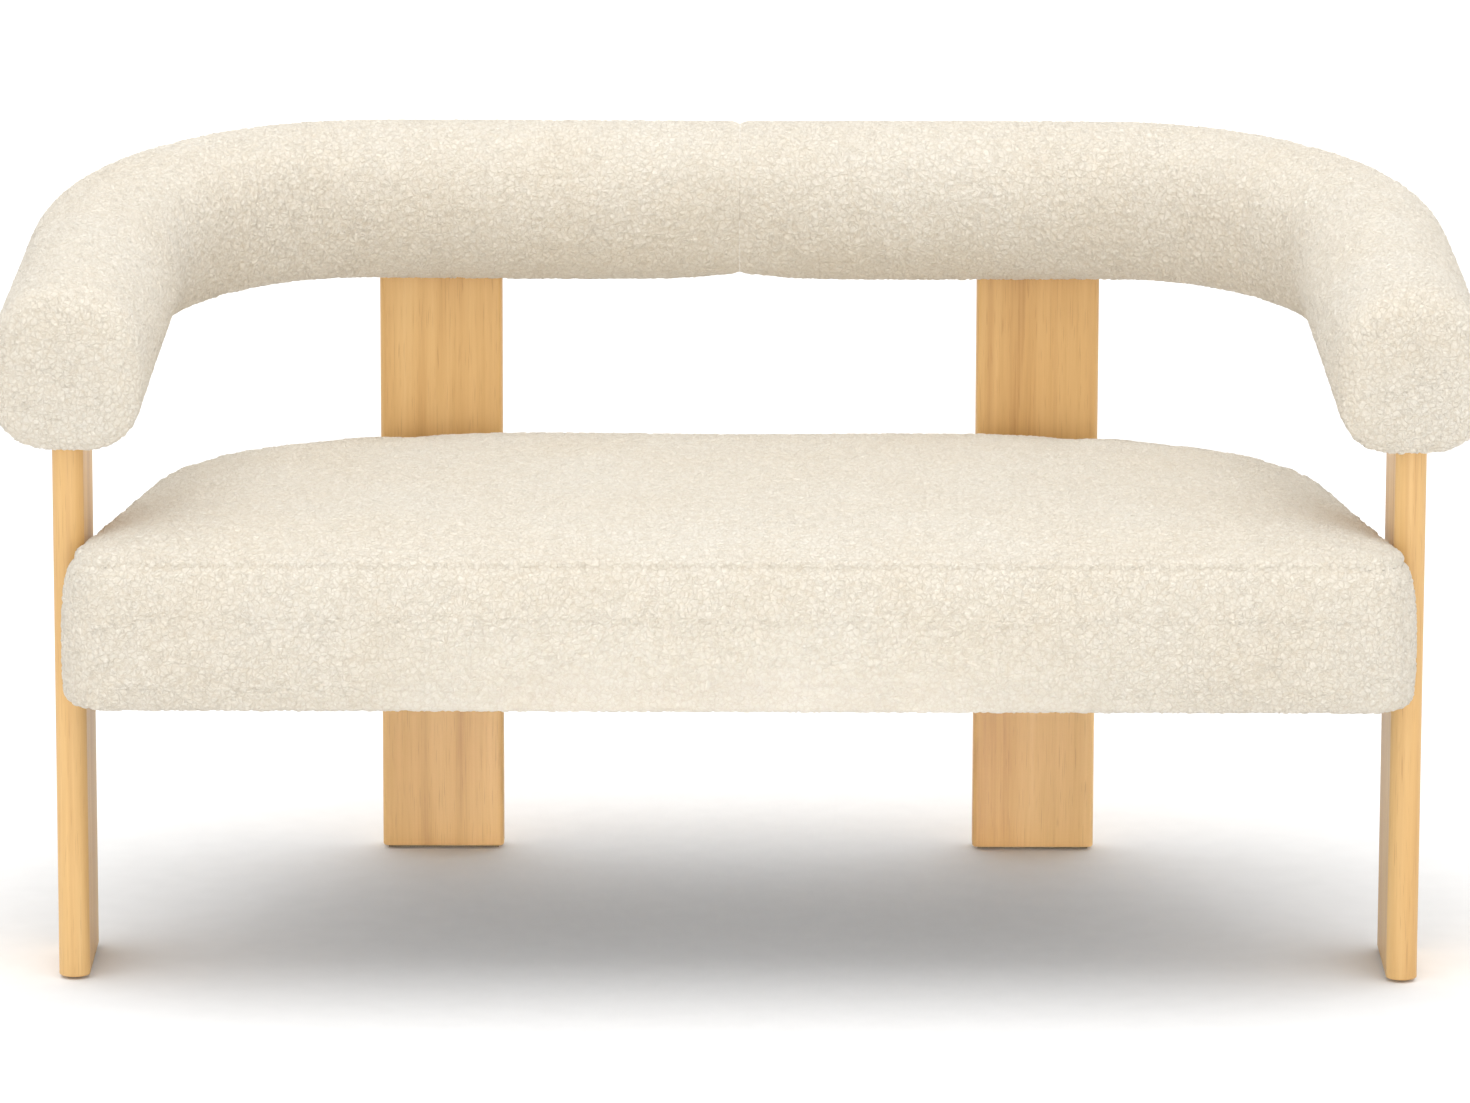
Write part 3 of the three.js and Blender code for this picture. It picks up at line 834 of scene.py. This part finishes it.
def add_leg(name, outline, node):
    low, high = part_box(node)
    x, y = (low.x + high.x) / 2, (low.y + high.y) / 2
    wide = max(high.x - low.x, high.y - low.y)
    rounding = LEG_FOOT_EDGE
    levels = []  # height and inset of each ring, from the foot up
    for i in range(5, -1, -1):
        angle = math.pi / 2 * i / 5
        levels.append((low.z + rounding * (1 - math.sin(angle)), rounding * (1 - math.cos(angle))))
    steps = 24
    for i in range(1, steps + 1):
        levels.append((low.z + rounding + (high.z - low.z - rounding) * i / steps, 0.0))
    points = []
    count = len(outline(wide, 0))
    for z, inset in levels:
        points += [(x + px, y + py, z) for px, py in outline(wide, inset)]
    mesh = mesh_from(name, points, ring_faces(len(levels), count))
    fix_normals(mesh)
    for polygon in mesh.polygons:
        polygon.use_smooth = len(polygon.vertices) == 4
    mesh.set_sharp_from_angle(angle=math.radians(17))
    piece = new_object(name, mesh)
    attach(piece, "root")
    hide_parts(node)
    mesh.materials.append(MATERIALS["wood"])
    return piece


# ---- materials ----
def srgb(red, green, blue):
    def linear(value):
        value /= 255
        return value / 12.92 if value <= 0.04045 else ((value + 0.055) / 1.055) ** 2.4

    return (linear(red), linear(green), linear(blue), 1.0)


class Shader:
    """A material's node tree, built by name."""

    def __init__(self, name):
        self.material = bpy.data.materials.new(name)
        self.material.use_nodes = True
        self.tree = self.material.node_tree
        self.tree.nodes.clear()
        self.surface = self.node("ShaderNodeBsdfPrincipled")
        output = self.node("ShaderNodeOutputMaterial")
        self.tree.links.new(self.surface.outputs[0], output.inputs["Surface"])
        self.coordinates = self.node("ShaderNodeTexCoord").outputs["Object"]

    def node(self, kind, settings=None, **inputs):
        made = self.tree.nodes.new(kind)
        for key, value in (settings or {}).items():
            setattr(made, key, value)
        for key, value in inputs.items():
            self.feed(made, key.replace("_", " "), value)
        return made

    def feed(self, node, key, value):
        socket = node.inputs[int(key)] if key.isdigit() else node.inputs[key]
        if isinstance(value, bpy.types.NodeSocket):
            self.tree.links.new(value, socket)
        else:
            socket.default_value = value

    def set(self, **inputs):
        for key, value in inputs.items():
            self.feed(self.surface, key.replace("_", " "), value)

    def scaled(self, x, y, z, shift=(0, 0, 0)):
        return self.node(
            "ShaderNodeMapping", Vector=self.coordinates, Scale=(x, y, z), Location=shift
        ).outputs[0]

    def noise(self, vector, scale=1.0, detail=2.0, roughness=0.5, distortion=0.0):
        made = self.node(
            "ShaderNodeTexNoise",
            Vector=vector,
            Scale=scale,
            Detail=detail,
            Roughness=roughness,
            Distortion=distortion,
        )
        return made.outputs["Fac"]

    def math(self, operation, first, second=0.0):
        made = self.node("ShaderNodeMath", {"operation": operation})
        self.feed(made, "0", first)
        self.feed(made, "1", second)
        return made.outputs[0]

    def ramp(self, factor, *stops):
        made = self.node("ShaderNodeValToRGB", Fac=factor)
        elements = made.color_ramp.elements
        while len(elements) < len(stops):
            elements.new(0.5)
        for element, (position, color) in zip(elements, stops):
            element.position = position
            element.color = color
        return made.outputs[0]

    def mix(self, factor, first, second, blend="MIX"):
        made = self.node("ShaderNodeMix", {"data_type": "RGBA", "blend_type": blend})
        self.feed(made, "0", factor)
        self.feed(made, "6", first)
        self.feed(made, "7", second)
        return made.outputs[2]

    def bump(self, height, distance, strength=1.0, normal=None):
        made = self.node("ShaderNodeBump", Height=height, Distance=distance, Strength=strength)
        if normal is not None:
            self.feed(made, "Normal", normal)
        return made.outputs[0]


def grey(value):
    return (value, value, value, 1.0)


def boucle_material():
    s = Shader("boucle_cloth")
    clear = s.node("ShaderNodeAttribute", {"attribute_name": "pile"}).outputs["Fac"]
    curls = s.noise(s.coordinates, scale=430, detail=3, roughness=0.6, distortion=1.8)
    drift = s.node("ShaderNodeTexNoise", Vector=s.coordinates, Scale=150.0, Detail=2.0).outputs["Color"]
    bent = s.node("ShaderNodeVectorMath", {"operation": "MULTIPLY_ADD"})
    for slot, value in enumerate((drift, (0.0085, 0.0085, 0.0085), s.coordinates)):
        s.feed(bent, str(slot), value)
    lumps = s.node(
        "ShaderNodeTexVoronoi", {"feature": "DISTANCE_TO_EDGE"}, Vector=bent.outputs[0], Scale=175.0
    ).outputs["Distance"]
    shaded_cracks = s.ramp(lumps, (0.0, grey(0)), (0.07, grey(0.6)), (0.20, grey(1)))
    fibres = s.noise(s.coordinates, scale=1700, detail=2, roughness=0.7, distortion=0.8)
    patches = s.noise(s.coordinates, scale=9, detail=3)
    flecks = s.noise(s.coordinates, scale=120, detail=1)
    ridges = s.math("ABSOLUTE", s.math("SUBTRACT", curls, 0.5))
    strands = s.ramp(ridges, (0.0, grey(0)), (0.035, grey(0.7)), (0.10, grey(1)))
    gaps = s.ramp(clear, (0.02, grey(1)), (0.14, grey(0.45)), (0.36, grey(0)))
    # Painted light: the yarn's cream is a little lighter where the curls stand higher, as the loops' tops
    # catch the light.
    yarn_lit_tops = s.ramp(curls, (0.30, srgb(237, 230, 216)), (0.70, srgb(244, 238, 226)))
    # Painted shade: thin darker lines in the grooves where the curls dip between strands.
    thin = s.math("MULTIPLY", s.math("SUBTRACT", 1.0, strands), 0.20)
    shade = s.mix(thin, yarn_lit_tops, srgb(216, 203, 182))
    # Painted shade: the gaps between the loops, where the pile attribute is low, are darkened towards tan.
    shade = s.mix(s.math("MULTIPLY", gaps, 0.22), shade, srgb(208, 191, 167))
    # Painted shade: dark thin lines along the cracks between the lumps of pile. The same cracks also sink the
    # bump.
    shade = s.mix(s.math("MULTIPLY", s.math("SUBTRACT", 1.0, shaded_cracks), 0.26), shade, srgb(208, 190, 164))
    tone = s.ramp(patches, (0.3, srgb(253, 251, 248)), (0.7, srgb(255, 255, 255)))
    fleck = s.ramp(flecks, (0.35, srgb(252, 251, 249)), (0.65, srgb(255, 255, 255)))
    color = s.mix(1.0, s.mix(1.0, shade, tone, "MULTIPLY"), fleck, "MULTIPLY")
    height = s.math("ADD", s.math("MULTIPLY", strands, 0.3), s.math("MULTIPLY", curls, 0.4))
    normal = s.bump(s.math("ADD", height, s.math("MULTIPLY", shaded_cracks, 0.8)), 0.0011, 0.8)
    normal = s.bump(fibres, 0.0004, 0.5, normal)
    s.set(Base_Color=color, Roughness=0.95, Normal=normal)
    s.surface.inputs["Specular IOR Level"].default_value = 0.15
    s.surface.inputs["Sheen Weight"].default_value = 0.3
    s.surface.inputs["Sheen Roughness"].default_value = 0.5
    s.surface.inputs["Sheen Tint"].default_value = (1.0, 0.98, 0.95, 1.0)
    return s.material


def wood_material():
    s = Shader("honey_wood")
    wander = s.noise(s.scaled(6, 6, 1.3), scale=1, detail=2)
    shift = s.math("MULTIPLY", s.math("SUBTRACT", wander, 0.5), 0.05)
    parts = s.node("ShaderNodeSeparateXYZ", Vector=s.coordinates)
    x = s.math("ADD", parts.outputs[0], shift)
    y = s.math("ADD", parts.outputs[1], shift)
    z = s.math("MULTIPLY", parts.outputs[2], 0.02)
    joined = s.node("ShaderNodeCombineXYZ", X=x, Y=y, Z=z).outputs[0]
    rings = s.noise(joined, scale=46, detail=4, roughness=0.55, distortion=0.3)
    fibres = s.noise(s.scaled(420, 420, 7), scale=1, detail=3, roughness=0.65)
    pores = s.noise(s.scaled(900, 900, 26), scale=1, detail=1)
    broad = s.noise(s.scaled(9, 9, 0.9), scale=1, detail=2)
    streaks = s.noise(s.scaled(60, 60, 0.8, (3.1, 1.7, 0.2)), scale=1, detail=2)
    figure = s.math("ADD", s.math("MULTIPLY", rings, 0.74), s.math("MULTIPLY", fibres, 0.26))
    color = s.ramp(
        figure,
        (0.28, srgb(198, 154, 96)),
        (0.44, srgb(220, 179, 117)),
        (0.58, srgb(229, 190, 129)),
        (0.75, srgb(236, 202, 145)),
    )
    tone = s.ramp(broad, (0.3, srgb(238, 226, 208)), (0.7, srgb(255, 255, 255)))
    color = s.mix(1.0, color, tone, "MULTIPLY")
    dark = s.ramp(streaks, (0.60, grey(0)), (0.74, grey(1)))
    color = s.mix(s.math("MULTIPLY", dark, 0.35), color, srgb(176, 122, 70))
    pits = s.ramp(pores, (0.62, grey(0)), (0.70, grey(1)))
    color = s.mix(s.math("MULTIPLY", pits, 0.28), color, srgb(160, 108, 62))
    rough = s.ramp(fibres, (0.3, grey(0.52)), (0.7, grey(0.40)))
    normal = s.bump(fibres, 0.0002, 0.5)
    normal = s.bump(s.math("SUBTRACT", 1.0, pits), 0.00015, 0.5, normal)
    s.set(Base_Color=color, Roughness=rough, Normal=normal)
    s.surface.inputs["Coat Weight"].default_value = 0.12
    s.surface.inputs["Coat Roughness"].default_value = 0.35
    return s.material


def plywood_material():
    s = Shader("birch_ply")
    layers = s.node(
        "ShaderNodeTexWave", {"bands_direction": "Z"}, Vector=s.coordinates, Scale=60, Distortion=0.6
    )
    fibres = s.noise(s.scaled(40, 300, 300), scale=1, detail=3)
    color = s.ramp(fibres, (0.3, srgb(190, 156, 112)), (0.7, srgb(218, 190, 148)))
    color = s.mix(s.math("MULTIPLY", layers.outputs["Fac"], 0.25), color, srgb(160, 122, 82))
    s.set(Base_Color=color, Roughness=0.7, Normal=s.bump(fibres, 0.0003, 0.4))
    return s.material


def weave_material(name, low, high, scale):
    s = Shader(name)
    warp, weft = (
        s.node(
            "ShaderNodeTexWave",
            {"bands_direction": way},
            Vector=s.coordinates,
            Scale=scale,
            Distortion=0.3,
        )
        for way in "XY"
    )
    threads = s.math("MULTIPLY", warp.outputs["Fac"], weft.outputs["Fac"])
    fluff = s.noise(s.scaled(1, 1, 1), scale=900, detail=2)
    height = s.math("ADD", s.math("MULTIPLY", threads, 0.7), s.math("MULTIPLY", fluff, 0.3))
    color = s.ramp(height, (0.15, low), (0.75, high))
    s.set(Base_Color=color, Roughness=0.85, Normal=s.bump(height, 0.0004, 0.8))
    return s.material


def speckled_material(name, low, high, scale, roughness, depth=0.0003):
    s = Shader(name)
    grain = s.noise(s.scaled(1, 1, 1), scale=scale, detail=3, roughness=0.65)
    blotch = s.noise(s.scaled(1, 1, 1), scale=scale / 18, detail=2)
    mixed = s.math("ADD", s.math("MULTIPLY", grain, 0.7), s.math("MULTIPLY", blotch, 0.3))
    color = s.ramp(mixed, (0.35, low), (0.65, high))
    s.set(Base_Color=color, Roughness=roughness, Normal=s.bump(grain, depth, 0.7))
    return s.material


def steel_material():
    s = Shader("zinc_steel")
    brushed = s.noise(s.scaled(500, 500, 60), scale=1, detail=2)
    color = s.ramp(brushed, (0.3, srgb(150, 152, 156)), (0.7, srgb(196, 198, 202)))
    rough = s.ramp(brushed, (0.3, grey(0.42)), (0.7, grey(0.28)))
    s.set(Base_Color=color, Roughness=rough, Normal=s.bump(brushed, 0.0001, 0.4))
    s.surface.inputs["Metallic"].default_value = 1.0
    return s.material


MATERIALS = {
    "boucle": boucle_material(),
    "wood": wood_material(),
    "plywood": plywood_material(),
    "webbing": weave_material("rubber_webbing", srgb(34, 34, 36), srgb(78, 78, 82), 260),
    "dust": speckled_material("nonwoven_cloth", srgb(22, 22, 23), srgb(48, 48, 50), 700, 0.95),
    "felt": speckled_material("pressed_felt", srgb(112, 98, 80), srgb(150, 136, 116), 900, 0.95),
    "foam": speckled_material("foam", srgb(226, 214, 172), srgb(244, 236, 204), 800, 0.95, 0.0006),
    "steel": steel_material(),
}
FINISH_OF = {
    "boucle": "boucle",
    "ash_wood": "wood",
    "plywood": "plywood",
    "foam": "foam",
    "webbing": "webbing",
    "dust_cloth": "dust",
    "steel": "steel",
    "felt": "felt",
}


def dress(piece, material, nodes):
    """Gives a padded piece its material, hangs it from the root body, and hides the CAD nodes it stands for.
    """
    piece.data.materials.clear()
    piece.data.materials.append(material)
    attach(piece, "root")
    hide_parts(*nodes)


def finish_cad_nodes():
    """Every CAD node gets its slot's procedural material."""
    slots = {part["node"]: part["material_slot"] for part in frame["record"]["subparts"]}
    for name, node in frame["nodes"].items():
        material = MATERIALS[FINISH_OF[slots[name]]]
        node.data.materials.clear()
        node.data.materials.append(material)


# ---- the sofa ----
finish_cad_nodes()
for side, sign in SIDES.items():
    add_leg(f"wood_leg_front_{side}", nosed_outline, f"leg_front_{side}")
    add_leg(f"wood_leg_rear_{side}", slab_outline, f"leg_rear_{side}")
    back_nodes = [f"bolster_cover_back_{side}"] + (["bolster_foam_back"] if sign > 0 else [])
    arm_nodes = [f"bolster_{part}_{side}" for part in ("cover_arm", "foam_corner", "foam_arm")]
    cap_nodes = [f"bolster_{part}_{side}" for part in ("cap", "foam_end")]
    roll_panel(f"bolster_back_{side}", 0.0001 * sign, CORNER_SEAM * sign, back_nodes)
    roll_panel(f"bolster_arm_{side}", CORNER_SEAM * sign, END_START * sign, arm_nodes, True)
    end_cap(f"bolster_end_{side}", sign, cap_nodes)
add_seat()
add_dust_sheet()


# ---- stage ----
FLOOR_GAP = -0.0004  # the floor lies just under the feet
CAMERA_PLACE = (-0.004, -8.577, 2.252)
CAMERA_LENS = 215.5
CAMERA_PITCH = math.radians(12.36)  # downwards
CAMERA_ROLL = math.radians(0.146)


def add_stage():
    half = 40.0
    corners = [(x * half, y * half, 0) for x, y in ((-1, -1), (1, -1), (1, 1), (-1, 1))]
    mesh = mesh_from("floor", corners, [(0, 1, 2, 3)])
    floor = new_object("floor", mesh)
    floor.location.z = FLOOR_GAP
    s = Shader("studio_floor")
    grain = s.noise(s.scaled(1, 1, 1), scale=30, detail=2)
    s.set(Base_Color=s.ramp(grain, (0.3, grey(0.90)), (0.7, grey(0.92))), Roughness=0.9)
    mesh.materials.append(s.material)


def add_light(name, location, target, size, power, color, spread=180):
    lamp = bpy.data.lights.new(name, "AREA")
    lamp.shape = "RECTANGLE"
    lamp.size, lamp.size_y = size
    lamp.energy = power
    lamp.color = color
    lamp.spread = math.radians(spread)
    piece = bpy.data.objects.new(name, lamp)
    piece.location = location
    piece.rotation_euler = (Vector(target) - Vector(location)).to_track_quat("-Z", "Y").to_euler()
    bpy.context.scene.collection.objects.link(piece)


def add_world():
    world = bpy.data.worlds.new("studio")
    bpy.context.scene.world = world
    world.use_nodes = True
    background = world.node_tree.nodes["Background"]
    background.inputs["Color"].default_value = (1.0, 1.0, 1.0, 1.0)
    background.inputs["Strength"].default_value = 1.05


def add_camera():
    data = bpy.data.cameras.new("camera")
    data.sensor_width = 36
    data.lens = CAMERA_LENS
    data.clip_end = 200
    camera = bpy.data.objects.new("camera", data)
    camera.location = CAMERA_PLACE
    look = Matrix.Rotation(math.pi / 2 - CAMERA_PITCH, 3, "X") @ Matrix.Rotation(CAMERA_ROLL, 3, "Z")
    camera.rotation_euler = look.to_euler()
    bpy.context.scene.collection.objects.link(camera)
    bpy.context.scene.camera = camera


add_stage()
add_world()
add_light("top_light", (0.0, -0.6, 4.5), (0, 0, 0.4), (5.0, 4.0), 95, (1.0, 1.0, 1.0))
add_light("low_back_light", (0.0, 6.0, 0.9), (0, 0, 0.2), (6.0, 1.2), 60, (1.0, 0.99, 0.97))
add_light("low_front_light", (0.0, -6.5, 0.85), (0, 0.3, 0.3), (5.0, 1.4), 61, (1.0, 0.99, 0.97))
add_light("leg_light", (0.0, -3.4, 0.10), (0, 0.3, 0.07), (0.6, 0.15), 0.5, (1.0, 0.99, 0.97), 12)
add_camera()
bpy.context.scene.view_settings.view_transform = "Standard"
